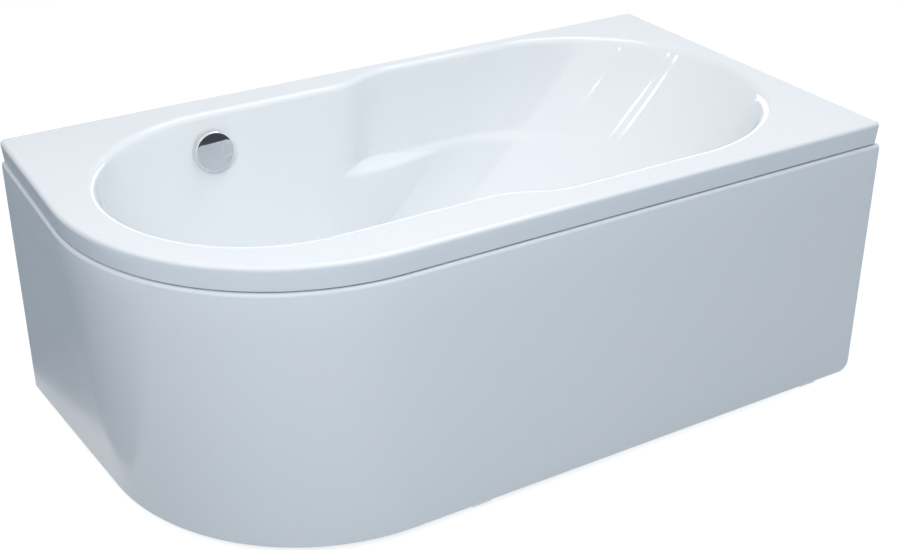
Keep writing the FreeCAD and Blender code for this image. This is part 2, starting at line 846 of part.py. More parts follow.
def drain_flange():
    flange = rod(at_drain(floor_top), up, drain_flange_radius, drain_flange_thickness)
    sleeve_low = floor_top - drain_sleeve_length
    sleeve = rod(at_drain(sleeve_low), up, sleeve_radius, drain_sleeve_length)
    inside = sleeve_radius - sleeve_wall
    body = flange.fuse(sleeve).cut(rod(at_drain(sleeve_low - overrun), up, inside,
                                       drain_sleeve_length + drain_flange_thickness + 2 * overrun))
    hub_low = floor_top - drain_hub_drop - drain_hub_height
    hub = rod(up * hub_low, up, hub_radius, drain_hub_height)
    for i in range(spoke_count):
        arm = block(hub_radius / 2, inside + sleeve_wall / 2, -spoke_width / 2, spoke_width / 2,
                    hub_low, hub_low + drain_hub_height)
        arm.rotate(Vector(0, 0, 0), up, 360 * i / spoke_count)
        hub = hub.fuse(arm)
    hub.translate(drain_centre)
    bore = rod(at_drain(hub_low - overrun), up, stem_radius + stem_fit, drain_hub_height + 2 * overrun)
    return body.fuse(hub).removeSplitter().cut(bore)


def drain_plug():
    crown_z = plug_under + plug_edge + plug_dome
    shoulder = Vector(plug_radius, 0, plug_under + plug_edge)
    middle = plug_radius / 2
    sag = Vector(middle, 0, crown_z - dome_fall(plug_radius, plug_dome, middle))
    crown = Vector(0, 0, crown_z)
    outline = Part.Wire([
        straight(Vector(0, 0, plug_under), Vector(plug_radius, 0, plug_under)),
        straight(Vector(plug_radius, 0, plug_under), shoulder),
        Part.Arc(shoulder, sag, crown).toShape(),
        straight(crown, Vector(0, 0, plug_under)),
    ])
    plug = Part.Face(outline).revolve(Vector(0, 0, 0), up, 360)
    plug.translate(drain_centre)
    socket_start = at_drain(plug_under - overrun)
    return plug.cut(rod(socket_start, up, stem_radius + screw_fit, plug_socket + overrun))


def waste_body():
    flange_low = waste_top - waste_flange
    outside = [
        Vector(0, 0, waste_low), Vector(waste_radius, 0, waste_low), Vector(waste_radius, 0, flange_low),
        Vector(body_radius, 0, flange_low), Vector(body_radius, 0, waste_top), Vector(0, 0, waste_top),
    ]
    body = turned(outside, Vector(0, 0, 0), up)
    body = body.fuse(rod(up * (waste_low - spigot_length), up, spigot_radius, spigot_length + body_wall))
    inlet_start = up * inlet_z
    body = body.fuse(rod(inlet_start, inward, nipple_radius, waste_radius + nipple_length))
    neck_low = waste_top - waste_neck_length
    body = body.cut(rod(up * neck_low, up, sleeve_radius + sleeve_fit, waste_neck_length + overrun))
    chamber_low = waste_low + body_wall
    body = body.cut(rod(up * chamber_low, up, waste_radius - body_wall, neck_low - chamber_low))
    spigot_low = waste_low - spigot_length - overrun
    body = body.cut(rod(up * spigot_low, up, spigot_bore, spigot_length + 2 * body_wall))
    body = body.cut(rod(inlet_start, inward, nipple_bore, waste_radius + nipple_length + overrun))
    body.translate(drain_centre)
    return body


export("drain_flange", drain_flange())
export("drain_plug", drain_plug())
seal_under = plug_under - seal_thickness
export("plug_seal", ring(at_drain(seal_under), up, seal_radius, seal_inner_radius, seal_thickness))
export("plug_stem", rod(at_drain(plug_under + plug_socket - stem_length), up, stem_radius, stem_length))
export("drain_gasket", ring(at_drain(waste_top), up, gasket_radius, drain_hole_radius, gasket_thickness))
export("waste_body", waste_body())

# Trap below the waste, with its nut, cleaning cap and outlet
outlet_z = trap_low + trap_outlet_rise
outlet_start_y = basin_offset + trap_radius + trap_outlet_length


def trap_body():
    shoulder = trap_radius - trap_wall
    outside = [
        Vector(0, 0, trap_low), Vector(shoulder, 0, trap_low), Vector(trap_radius, 0, trap_low + trap_wall),
        Vector(trap_radius, 0, trap_top - trap_wall), Vector(shoulder, 0, trap_top), Vector(0, 0, trap_top),
    ]
    cup = turned(outside, Vector(0, 0, 0), up)
    cup = cup.fuse(rod(up * (trap_top - trap_wall), up, trap_neck_radius, trap_neck_length + trap_wall))
    outlet_start = up * outlet_z
    cup = cup.fuse(rod(outlet_start, inward, outlet_cuff_radius, trap_radius + trap_outlet_length))
    cup = cup.cut(rod(up * (trap_low + trap_wall), up, shoulder, trap_height - 2 * trap_wall))
    cup = cup.cut(rod(up * (trap_top - 2 * trap_wall), up, spigot_radius + spigot_fit,
                      trap_neck_length + 2 * trap_wall + overrun))
    cup = cup.cut(rod(outlet_start, inward, spigot_bore, trap_radius + trap_outlet_length + overrun))
    cup.translate(drain_centre)
    return cup


def trap_nut():
    low = trap_top + trap_nut_gap
    seat = trap_neck_top + trap_nut_gap
    collar = ring(at_drain(low), up, trap_nut_radius, trap_neck_radius + spigot_fit, seat - low)
    lip = ring(at_drain(seat), up, trap_nut_radius, spigot_radius + spigot_fit, trap_nut_lip)
    return collar.fuse(lip).removeSplitter()


def trap_cap():
    low = trap_low - cap_height
    disc = rod(at_drain(low), up, cap_radius, cap_height)
    reach = cap_radius - trap_wall / 2
    grip = block(-reach, reach, -cap_grip_width / 2, cap_grip_width / 2, low, low + cap_grip_height)
    hollow = rod(at_drain(low - overrun), up, cap_radius - trap_wall, cap_grip_height + overrun)
    grip.translate(drain_centre)
    return disc.cut(hollow).fuse(grip).removeSplitter()


def outlet_point(y):
    return Vector(drain_centre.x, y, outlet_z)


def outlet_pipe():
    # A plain pipe with a cuff, as wide as the trap's outlet, that ends in a cone past the nut
    start = outlet_point(outlet_start_y)
    length = half_width - outlet_wall_gap - outlet_start_y
    cuff_end = outlet_nut_length / 2
    cuff = rod(start, inward, outlet_cuff_radius, cuff_end)
    cone = Part.makeCone(outlet_cuff_radius, spigot_radius, outlet_cuff_radius - spigot_radius,
                         start + inward * cuff_end, inward)
    pipe = rod(start, inward, spigot_radius, length).fuse([cuff, cone]).removeSplitter()
    return pipe.cut(rod(start - inward * overrun, inward, spigot_bore, length + 2 * overrun))


export("trap_body", trap_body())
export("trap_nut", trap_nut())
export("trap_cap", trap_cap())
export("outlet_pipe", outlet_pipe())
export("outlet_nut", ring(outlet_point(outlet_start_y - outlet_nut_length / 2), inward, outlet_nut_radius,
                          outlet_cuff_radius + spigot_fit, outlet_nut_length))


# Hose: it runs down behind the wall, bends under the floor and meets the waste body
def below_overflow(drop):
    point = Vector(0, -body_middle, -drop)
    turn = FreeCAD.Rotation(along, -wall_draft)
    return turn.multVec(point) + overflow_point()


def route(start, end_y):
    # Start, the two ends of the bend with its middle between, and the end, in a plane square to X
    fall = Vector(0, -math.sin(math.radians(wall_draft)), -math.cos(math.radians(wall_draft)))
    corner = start + fall * ((start.z - inlet_z) / -fall.z)
    half_turn = math.radians(90 - wall_draft) / 2
    reach = hose_bend_radius * math.tan(half_turn)
    before = corner - fall * reach
    after = corner - inward * reach
    diagonal = (-fall - inward).normalize()
    middle = corner + diagonal * (hose_bend_radius / math.cos(half_turn) - hose_bend_radius)
    end = Vector(start.x, end_y, inlet_z)
    return start, before, middle, after, end


def path_wire(points):
    start, before, middle, after, end = points
    bend = Part.Arc(before, middle, after).toShape()
    return Part.Wire([straight(start, before), bend, straight(after, end)])


def swept(points, radius):
    direction = (points[1] - points[0]).normalize()
    section = Part.Wire(Part.Circle(points[0], direction, radius).toShape())
    return path_wire(points).makePipeShell([section], True, False)


hose_start = below_overflow(-nipple_end)
hose_route = route(hose_start, inlet_end_y)


def hose_stations():
    # Places along the route as lengths: first run, bend, last run
    first = (hose_route[1] - hose_route[0]).Length
    bend = hose_bend_radius * math.radians(90 - wall_draft)
    last = (hose_route[4] - hose_route[3]).Length
    return first, bend, last


def on_hose(length):
    first, bend, last = hose_stations()
    fall = (hose_route[1] - hose_route[0]).normalize()
    if length <= first:
        return hose_route[0] + fall * length, fall
    if length >= first + bend:
        return hose_route[3] - inward * (length - first - bend), -inward
    angle = math.degrees((length - first) / hose_bend_radius)
    turn = FreeCAD.Rotation(along, -angle)
    to_centre = fall.cross(along)
    centre = hose_route[1] + to_centre * hose_bend_radius
    return centre - turn.multVec(to_centre * hose_bend_radius), turn.multVec(fall)


def hose_ring(length, radius):
    centre, direction = on_hose(length)
    circle = Part.Circle(centre, direction, radius)
    circle.XAxis = along
    return Part.Wire(circle.toShape())


def overflow_hose():
    total = sum(hose_stations())
    cuff = 2 * nipple_radius
    count = int((total - 2 * cuff) / hose_rib_pitch)
    pitch = (total - 2 * cuff) / count
    rings = [hose_ring(0, nipple_radius), hose_ring(cuff - pitch * rib_start_share, nipple_radius)]
    for i in range(count):
        base = cuff + pitch * i
        rings.append(hose_ring(base, hose_root_radius))
        rings.append(hose_ring(base + pitch * rib_start_share, nipple_radius))
        rings.append(hose_ring(base + pitch * (rib_start_share + rib_crest_share), nipple_radius))
        rings.append(hose_ring(base + pitch * rib_end_share, hose_root_radius))
    rings.append(hose_ring(total - cuff, hose_root_radius))
    rings.append(hose_ring(total - cuff + pitch * rib_start_share, nipple_radius))
    rings.append(hose_ring(total, nipple_radius))
    outside = Part.makeLoft(rings, True, True)
    print("hose length", round(total), "ribs", count)
    return outside.cut(swept(hose_route, nipple_bore))


export("overflow_hose", overflow_hose())


def hose_nut(length):
    centre, direction = on_hose(length)
    start = centre - direction * (hose_nut_length / 2)
    return ring(start, direction, hose_nut_radius, nipple_radius + screw_fit, hose_nut_length)


export("hose_nut_top", hose_nut(0))
export("hose_nut_low", hose_nut(sum(hose_stations())))
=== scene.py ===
import bpy
import bmesh
import math
from mathutils import Matrix, Vector


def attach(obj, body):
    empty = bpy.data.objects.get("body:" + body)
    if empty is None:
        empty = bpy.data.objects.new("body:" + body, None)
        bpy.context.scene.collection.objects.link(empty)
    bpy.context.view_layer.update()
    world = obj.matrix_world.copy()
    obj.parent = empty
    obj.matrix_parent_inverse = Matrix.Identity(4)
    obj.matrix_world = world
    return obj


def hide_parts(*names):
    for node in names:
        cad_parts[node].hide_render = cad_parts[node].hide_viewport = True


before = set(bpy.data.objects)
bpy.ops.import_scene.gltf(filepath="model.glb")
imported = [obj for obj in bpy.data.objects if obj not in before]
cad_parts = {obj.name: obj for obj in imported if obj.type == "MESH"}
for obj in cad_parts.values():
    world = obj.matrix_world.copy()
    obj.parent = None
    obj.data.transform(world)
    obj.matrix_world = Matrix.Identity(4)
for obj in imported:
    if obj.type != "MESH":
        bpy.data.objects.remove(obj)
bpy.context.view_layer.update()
print("frame loaded:", len(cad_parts), "nodes")

quarter = math.pi / 2
weldGap = 1e-6


# small mesh helpers
def traceArc(bm, vert, centre, angle, steps):
    made = bmesh.ops.spin(bm, geom=[vert], cent=centre, axis=(0, 0, 1), angle=angle, steps=steps)
    return [g for g in made["geom_last"] if isinstance(g, bmesh.types.BMVert)][0]


def traceRun(bm, vert, place, steps):
    start = vert.co.copy()
    for i in range(steps):
        vert = bmesh.ops.extrude_vert_indiv(bm, verts=[vert])["verts"][0]
        vert.co = start.lerp(Vector(place), (i + 1) / steps)
    return vert


def bridgeAll(bm, loops):
    for near, far in zip(loops, loops[1:]):
        bmesh.ops.bridge_loops(bm, edges=near + far)


def newEdges(bm, before):
    return [e for e in bm.edges if e not in before]


def finishMesh(name, bm, finishes, body="bath", smoothAngle=32):
    bm.edges.index_update()
    openEdges = [e.index for e in bm.edges if e.is_boundary]
    mesh = bpy.data.meshes.new(name)
    bm.to_mesh(mesh)
    bm.free()
    piece = bpy.data.objects.new(name, mesh)
    bpy.context.scene.collection.objects.link(piece)
    for finish in finishes:
        mesh.materials.append(finish)
    mesh.polygons.foreach_set("use_smooth", [True] * len(mesh.polygons))
    mesh.set_sharp_from_angle(angle=math.radians(smoothAngle))
    for index in openEdges:  # a cut edge stays crisp once the sheet is thickened
        mesh.edges[index].use_edge_sharp = True
    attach(piece, body)
    return piece


def faceOutwards(bm):
    bmesh.ops.remove_doubles(bm, verts=bm.verts, dist=weldGap)
    bmesh.ops.recalc_face_normals(bm, faces=bm.faces)


def thicken(piece, wall, backFinish=0, even=True):
    skin = piece.modifiers.new("wall", "SOLIDIFY")
    skin.thickness = wall
    skin.offset = -1
    skin.use_even_offset = even
    skin.material_offset = backFinish


def turnProfile(bm, points, steps):
    # points are (radius, height); the outline is turned about Z
    verts = [bm.verts.new((r, 0, h)) for r, h in points]
    edges = [bm.edges.new(pair) for pair in zip(verts, verts[1:])]
    bmesh.ops.spin(bm, geom=verts + edges, cent=(0, 0, 0), axis=(0, 0, 1),
                   angle=2 * math.pi, steps=steps, use_merge=True)
    faceOutwards(bm)


def roundShoulder(centre, radius, first, last, steps):
    # profile points round a small arc, angles in degrees from the radius direction
    turns = [math.radians(first + (last - first) * i / steps) for i in range(steps + 1)]
    return [(centre[0] + radius * math.cos(t), centre[1] + radius * math.sin(t)) for t in turns]


# finishes
def startFinish(name):
    finish = bpy.data.materials.new(name)
    finish.use_nodes = True
    nodes = finish.node_tree.nodes
    place = nodes.new("ShaderNodeTexCoord").outputs["Object"]
    return finish, nodes, finish.node_tree.links, nodes["Principled BSDF"], place


def addNoise(nodes, links, place, scale, detail=4.0, stretch=None, rough=0.55):
    noise = nodes.new("ShaderNodeTexNoise")
    noise.inputs["Scale"].default_value = scale
    noise.inputs["Detail"].default_value = detail
    noise.inputs["Roughness"].default_value = rough
    if stretch:
        turn = nodes.new("ShaderNodeMapping")
        turn.inputs["Scale"].default_value = stretch
        links.new(place, turn.inputs["Vector"])
        place = turn.outputs["Vector"]
    links.new(place, noise.inputs["Vector"])
    return noise.outputs["Fac"]


def addRamp(nodes, links, value, low, high, start=0.3, end=0.7):
    ramp = nodes.new("ShaderNodeValToRGB")
    ramp.color_ramp.elements[0].position = start
    ramp.color_ramp.elements[1].position = end
    ramp.color_ramp.elements[0].color = (*low, 1)
    ramp.color_ramp.elements[1].color = (*high, 1)
    links.new(value, ramp.inputs["Fac"])
    return ramp.outputs["Color"]


def addRange(nodes, links, value, low, high, start=0.3, end=0.7):
    span = nodes.new("ShaderNodeMapRange")
    span.inputs["From Min"].default_value = start
    span.inputs["From Max"].default_value = end
    span.inputs["To Min"].default_value = low
    span.inputs["To Max"].default_value = high
    links.new(value, span.inputs["Value"])
    return span.outputs["Result"]


def addBump(nodes, links, value, shader, strength, distance):
    bump = nodes.new("ShaderNodeBump")
    bump.inputs["Strength"].default_value = strength
    bump.inputs["Distance"].default_value = distance
    links.new(value, bump.inputs["Height"])
    links.new(bump.outputs["Normal"], shader.inputs["Normal"])


def makeFinish(name, low, high, scale, roughness, metal=0.0, bump=None, stretch=None, detail=4.0):
    finish, nodes, links, shader, place = startFinish(name)
    cloud = addNoise(nodes, links, place, scale, detail, stretch=stretch)
    links.new(addRamp(nodes, links, cloud, low, high), shader.inputs["Base Color"])
    links.new(addRange(nodes, links, cloud, *roughness), shader.inputs["Roughness"])
    shader.inputs["Metallic"].default_value = metal
    if bump:
        fine = addNoise(nodes, links, place, bump["scale"], detail=3.0, stretch=bump.get("stretch"))
        addBump(nodes, links, fine, shader, bump["strength"], bump["distance"])
    return finish


acrylicGrain = {"scale": 60, "strength": 0.01, "distance": 0.0003}
acrylicGloss = makeFinish("acrylicGloss", (0.885, 0.91, 0.93), (0.90, 0.92, 0.935), 3.0, (0.055, 0.085),
                          bump=acrylicGrain)
# the lip is the same white acrylic as the rim; its bluer, darker colour is painted shade on its upright
# faces
lipGlossPaintedShade = makeFinish("lipGlossPaintedShade", (0.78, 0.855, 0.925), (0.80, 0.865, 0.93), 3.0, (0.055, 0.085),
                      bump=acrylicGrain)
# the apron is white acrylic too; its bluer, darker colour is painted shade, the shade its upright face takes
panelGlossPaintedShade = makeFinish("panelGlossPaintedShade", (0.80, 0.865, 0.92), (0.825, 0.88, 0.93), 2.2, (0.16, 0.24),
                        bump={"scale": 60, "strength": 0.08, "distance": 0.0005})
fibreglassBack = makeFinish("fibreglassBack", (0.62, 0.60, 0.52), (0.80, 0.79, 0.73), 24, (0.45, 0.7),
                            bump={"scale": 70, "strength": 0.6, "distance": 0.0015, "stretch": (1, 2.5, 1)})
chromeTrim = makeFinish("chromeTrim", (0.78, 0.79, 0.80), (0.86, 0.87, 0.88), 14, (0.04, 0.09), metal=1.0)
zincSteel = makeFinish("zincSteel", (0.50, 0.51, 0.52), (0.68, 0.69, 0.70), 55, (0.28, 0.42), metal=1.0,
                       bump={"scale": 180, "strength": 0.15, "distance": 0.0003})
framePaint = makeFinish("framePaint", (0.075, 0.08, 0.085), (0.105, 0.11, 0.115), 30, (0.35, 0.5),
                        bump={"scale": 420, "strength": 0.25, "distance": 0.0003})
blackPlastic = makeFinish("blackPlastic", (0.022, 0.022, 0.024), (0.034, 0.034, 0.036), 40, (0.4, 0.55),
                          bump={"scale": 600, "strength": 0.2, "distance": 0.0002})
sealRubber = makeFinish("sealRubber", (0.018, 0.018, 0.019), (0.03, 0.03, 0.031), 60, (0.6, 0.75),
                        bump={"scale": 300, "strength": 0.2, "distance": 0.0002})
whitePlastic = makeFinish("whitePlastic", (0.70, 0.71, 0.70), (0.76, 0.77, 0.76), 18, (0.3, 0.42),
                          bump={"scale": 260, "strength": 0.12, "distance": 0.0003})
greyHose = makeFinish("greyHose", (0.40, 0.41, 0.42), (0.46, 0.47, 0.48), 26, (0.38, 0.5),
                      bump={"scale": 300, "strength": 0.15, "distance": 0.0003})
timberGrain = makeFinish("timberGrain", (0.42, 0.27, 0.14), (0.62, 0.44, 0.26), 9, (0.6, 0.75), detail=8,
                         stretch=(1, 9, 9), bump={"scale": 60, "strength": 0.3, "distance": 0.0006,
                                                  "stretch": (1, 9, 9)})
chipboard = makeFinish("chipboard", (0.38, 0.26, 0.15), (0.66, 0.51, 0.34), 150, (0.65, 0.85), detail=2,
                       bump={"scale": 220, "strength": 0.3, "distance": 0.0006})
print("finishes made")

# bath shell: rim with a turned-down lip, keyhole basin with a waist and an armrest ledge on both sides
shellForm = {
    "length": 1.5, "width": 0.8, "top": 0.58, "wall": 0.005,
    "cornerRadius": 0.455, "edgeCorner": 0.014, "edgeRound": 0.009, "edgeSteps": 6,
    "longSteps": 24, "shortSteps": 16, "leftSteps": 8, "edgeCornerSteps": 8, "cornerSteps": 64,
    "lipDrop": 0.045, "lipDraft": 0.004, "lipChamfer": 0.0008,
    "depth": 0.4, "offset": 0.015, "footHalf": 0.302, "headHalf": 0.344, "footRim": 0.082, "headRim": 0.042,
    "rimRoll": 0.014, "rollSteps": 7, "floorRadius": 0.06, "floorSteps": 12,
    "wallDraft": 10.0, "recessDraft": 3.0, "wallSteps": 8,
    "waistStart": -0.08, "waistEnd": 0.08, "waistLean": 0.06,
    "ledgeDrop": 0.204, "ledgeBlend": 0.03, "ledgeSteps": 14,
    "lowerHead": 0.85, "lowerWaist": 0.95, "straight": 0.9,
    "backrestRun": 0.386, "backrestCurve": 0.3,
    "arcSteps": 30, "runSteps": 10, "waistSteps": 8, "supportWidth": 0.0015, "seamGap": 1e-5,
    "drainX": -0.355, "drainRadius": 0.026, "drainSteps": 48,
}


def ledgeStep(t):
    # soft at its lower end, where the wall's outside would fold, and tight at its upper end
    t = min(max(t, 0.0), 1.0)
    return t ** 3 * (4 - 3 * t)


def basinLoop(bm, z, spread):
    f = shellForm
    depth = f["top"] - z
    share = depth / f["depth"]
    footHalf = f["footHalf"] - depth * math.tan(math.radians(f["wallDraft"]))
    recess = f["headHalf"] - depth * math.tan(math.radians(f["recessDraft"]))
    ledge = f["top"] - f["ledgeDrop"]
    above = ledgeStep((z - ledge) / f["ledgeBlend"] + 0.5)
    headHalf = footHalf + (recess - footHalf) * (f["lowerHead"] + (1 - f["lowerHead"]) * above)
    sweep = (1 - f["backrestCurve"]) * share + f["backrestCurve"] * share ** 2
    tip = f["length"] / 2 - f["headRim"] - f["backrestRun"] * sweep + spread
    toe = -f["length"] / 2 + f["footRim"] + depth * math.tan(math.radians(f["wallDraft"])) - spread
    footHalf += spread
    headHalf += spread
    x0 = f["waistStart"] - f["waistLean"] * share
    lowerX1 = x0 + (tip - headHalf - x0) * f["lowerWaist"]
    x1 = lowerX1 + (f["waistEnd"] - f["waistLean"] * share - lowerX1) * above
    mid = f["offset"]
    before = set(bm.edges)
    vert = bm.verts.new((toe, mid, z))
    vert = traceArc(bm, vert, (toe + footHalf, mid, z), -quarter, f["arcSteps"])
    vert = traceRun(bm, vert, (x0, mid + footHalf, z), f["runSteps"])
    steps = 2 * f["waistSteps"]
    for i in range(1, steps + 1):  # the waist: a double bend above the ledge, nearly straight below it
        t = i / steps
        bend = 2 * t * t if t < 0.5 else 1 - 2 * (1 - t) ** 2
        swell = bend * above + (t * f["straight"] + bend * (1 - f["straight"])) * (1 - above)
        vert = traceRun(bm, vert, (x0 + (x1 - x0) * t, mid + footHalf + (headHalf - footHalf) * swell, z), 1)
    vert = traceRun(bm, vert, (tip - headHalf, mid + headHalf, z), f["runSteps"])
    vert = traceArc(bm, vert, (tip - headHalf, mid, z), -quarter, f["arcSteps"])
    vert.co = (tip, mid, z)
    half = newEdges(bm, before)
    verts = list({v for e in half for v in e.verts})
    seam = f["seamGap"]
    bmesh.ops.mirror(bm, geom=verts + half, matrix=Matrix.Translation((0, -mid, 0)), merge_dist=seam,
                     axis="Y")
    ends = [v for e in newEdges(bm, before) for v in e.verts if abs(v.co.y - mid) < seam]
    bmesh.ops.remove_doubles(bm, verts=list(set(ends)), dist=seam)
    return newEdges(bm, before)


def rimLoop(bm, inset, z):
    f = shellForm
    left, right = -f["length"] / 2 + inset, f["length"] / 2 - inset
    front, back = -f["width"] / 2 + inset, f["width"] / 2 - inset
    big, small = f["cornerRadius"] - inset, f["edgeCorner"] - inset
    before = set(bm.edges)
    vert = start = bm.verts.new((left + big, front, z))
    vert = traceRun(bm, vert, (right - small, front, z), f["longSteps"])
    vert = traceArc(bm, vert, (right - small, front + small, z), quarter, f["edgeCornerSteps"])
    vert = traceRun(bm, vert, (right, back - small, z), f["shortSteps"])
    vert = traceArc(bm, vert, (right - small, back - small, z), quarter, f["edgeCornerSteps"])
    vert = traceRun(bm, vert, (left + small, back, z), f["longSteps"])
    vert = traceArc(bm, vert, (left + small, back - small, z), quarter, f["edgeCornerSteps"])
    vert = traceRun(bm, vert, (left, front + big, z), f["leftSteps"])
    vert = traceArc(bm, vert, (left + big, front + big, z), quarter, f["cornerSteps"])
    bmesh.ops.pointmerge(bm, verts=[start, vert], merge_co=start.co)
    return newEdges(bm, before)


def buildShell():
    f = shellForm
    top, support = f["top"], f["supportWidth"]
    bm = bmesh.new()
    levels = [(top, f["rimRoll"] + support)]
    for i in range(f["rollSteps"] + 1):  # the rolled edge from the flat rim into the wall
        turn = quarter * (1 - i / f["rollSteps"])
        levels.append((top - f["rimRoll"] * (1 - math.sin(turn)), f["rimRoll"] * (1 - math.cos(turn))))
    wallTop = top - f["rimRoll"]
    ledgeTop = top - f["ledgeDrop"] + f["ledgeBlend"] / 2
    ledgeLow = ledgeTop - f["ledgeBlend"]
    floorZ = top - f["depth"]
    filletTop = floorZ + f["floorRadius"]
    for i in range(1, f["wallSteps"]):
        levels.append((wallTop + (ledgeTop - wallTop) * i / f["wallSteps"], 0))
    for i in range(f["ledgeSteps"] + 1):
        levels.append((ledgeTop + (ledgeLow - ledgeTop) * i / f["ledgeSteps"], 0))
    for i in range(1, f["wallSteps"]):
        levels.append((ledgeLow + (filletTop - ledgeLow) * i / f["wallSteps"], 0))
    for i in range(f["floorSteps"] + 1):
        turn = quarter * i / f["floorSteps"]
        drop, draw = f["floorRadius"] * math.sin(turn), f["floorRadius"] * (1 - math.cos(turn))
        levels.append((filletTop - drop, -draw))
    levels.append((floorZ, -f["floorRadius"] - support))
    basin = [basinLoop(bm, z, spread) for z, spread in levels]
    bridgeAll(bm, basin)
    drain = set(bm.edges)
    bmesh.ops.create_circle(bm, segments=f["drainSteps"], radius=f["drainRadius"],
                            matrix=Matrix.Translation((f["drainX"], f["offset"], floorZ)))
    bmesh.ops.triangle_fill(bm, use_beauty=True, edges=basin[-1] + newEdges(bm, drain))
    rims = [(f["edgeRound"] + support, top)]
    for i in range(f["edgeSteps"] + 1):  # rounded outer edge, then the lip down to its lower edge
        turn = quarter * i / f["edgeSteps"]
        fall = f["edgeRound"] * (1 - math.cos(turn))
        lean = f["lipDraft"] * fall / f["lipDrop"]
        rims.append((f["edgeRound"] * (1 - math.sin(turn)) + lean, top - fall))
    rims.append((f["lipDraft"] - f["lipDraft"] * f["lipChamfer"] / f["lipDrop"],
                 top - f["lipDrop"] + f["lipChamfer"]))
    rims.append((f["lipDraft"] + f["lipChamfer"], top - f["lipDrop"]))
    rim = [rimLoop(bm, inset, z) for inset, z in rims]
    inside = set(bm.faces)
    bridgeAll(bm, rim)
    for face in bm.faces:  # the lip gets a bluer, darker copy of the acrylic, painted shade on its upright faces
        if face not in inside and face.calc_center_median().z < top - f["edgeRound"] / 2:
            face.material_index = 2
    bmesh.ops.triangle_fill(bm, use_beauty=True, edges=basin[0] + rim[0])
    faceOutwards(bm)
    flat = max(bm.faces, key=lambda face: face.calc_center_median().z)
    if flat.normal.z < 0:
        bmesh.ops.reverse_faces(bm, faces=bm.faces)
    finishes = [acrylicGloss, fibreglassBack, lipGlossPaintedShade, fibreglassBack]
    piece = finishMesh("bathShell", bm, finishes)
    thicken(piece, f["wall"], backFinish=1)
    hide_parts("bath_shell")


buildShell()
print("bath shell built")

# apron panel: toes in towards its lower left, turned in along its top
panelForm = {
    "length": 1.5, "width": 0.8, "topZ": 0.532, "lowZ": 0.02, "thickness": 0.004, "flange": 0.024,
    "topRadius": 0.455, "lowRadius": 0.425, "toeAngle": 5.4, "edgeRound": 0.007, "edgeSteps": 8,
    "lowCorner": 0.022, "cornerSteps": 8, "rows": 6, "leftSteps": 8, "arcSteps": 64, "frontSteps": 24,
}


def panelChain(bm, share, inset, z):
    # share 1 is the top run and 0 the bottom run, and between them one blends into the other
    f = panelForm
    before = set(bm.edges)
    runs = []
    for toe, radius in ((f["toeAngle"], f["lowRadius"]), (0, f["topRadius"])):
        lean = math.radians(toe)
        centreY = -f["width"] / 2 + radius
        centreX = -f["length"] / 2 + (f["width"] / 2 - centreY) * math.tan(lean) + radius / math.cos(lean)
        reach = radius - inset
        runs.append((lean, centreX, centreY, reach))
    lean, centreX, centreY, reach = [a + (b - a) * share for a, b in zip(*runs)]
    vert = bm.verts.new((-f["length"] / 2 + inset / math.cos(lean), f["width"] / 2, z))
    first = (centreX - reach * math.cos(lean), centreY - reach * math.sin(lean), z)
    vert = traceRun(bm, vert, first, f["leftSteps"])
    vert = traceArc(bm, vert, (centreX, centreY, z), quarter - lean, f["arcSteps"])
    traceRun(bm, vert, (f["length"] / 2, -f["width"] / 2 + inset, z), f["frontSteps"])
    return newEdges(bm, before)


def buildPanel():
    f = panelForm
    bm = bmesh.new()
    faceTop = f["topZ"] - f["edgeRound"]
    chains = []
    for i in range(f["rows"] + 1):
        share = i / f["rows"]
        chains.append(panelChain(bm, share, 0, f["lowZ"] + (faceTop - f["lowZ"]) * share))
    for i in range(1, f["edgeSteps"] + 1):
        turn = quarter * i / f["edgeSteps"]
        chains.append(panelChain(bm, 1, f["edgeRound"] * (1 - math.cos(turn)),
                                 faceTop + f["edgeRound"] * math.sin(turn)))
    chains.append(panelChain(bm, 1, f["flange"], f["topZ"]))
    bridgeAll(bm, chains)
    faceOutwards(bm)
    lowRight = Vector((f["length"] / 2, -f["width"] / 2, f["lowZ"]))
    corner = min(bm.verts, key=lambda v: (v.co - lowRight).length)
    bmesh.ops.bevel(bm, geom=[corner], affect="VERTICES", offset=f["lowCorner"], segments=f["cornerSteps"],
                    profile=0.5, material=-1)
    front = max(bm.faces, key=lambda face: face.calc_area())
    if front.normal.y > 0 or front.normal.x > 0.5:
        bmesh.ops.reverse_faces(bm, faces=bm.faces)
    piece = finishMesh("apronPanel", bm, [panelGlossPaintedShade])
    thicken(piece, f["thickness"])
    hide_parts("front_panel")


buildPanel()
print("apron panel built")

# overflow knob: a domed chrome cap that stands off the sloped wall
knobForm = {
    "x": -0.355, "drop": 0.076, "radius": 0.041, "back": 0.0055, "front": 0.0225, "edgeRound": 0.0035,
    "dome": 0.003, "wall": 0.003, "chamfer": 0.0006, "hub": 0.009, "hubBack": 0.0055,
    "domeSteps": 10, "edgeStart": 80, "edgeSteps": 8, "turnSteps": 96,
}


def wallSeat():
    f = shellForm
    draft = math.radians(f["wallDraft"])
    y = f["offset"] + f["footHalf"] - knobForm["drop"] * math.tan(draft)
    turn = Matrix.Rotation(-draft, 4, "X") @ Matrix.Rotation(quarter, 4, "X")  # Z to -Y, then tilted
    return Matrix.Translation((knobForm["x"], y, f["top"] - knobForm["drop"])) @ turn


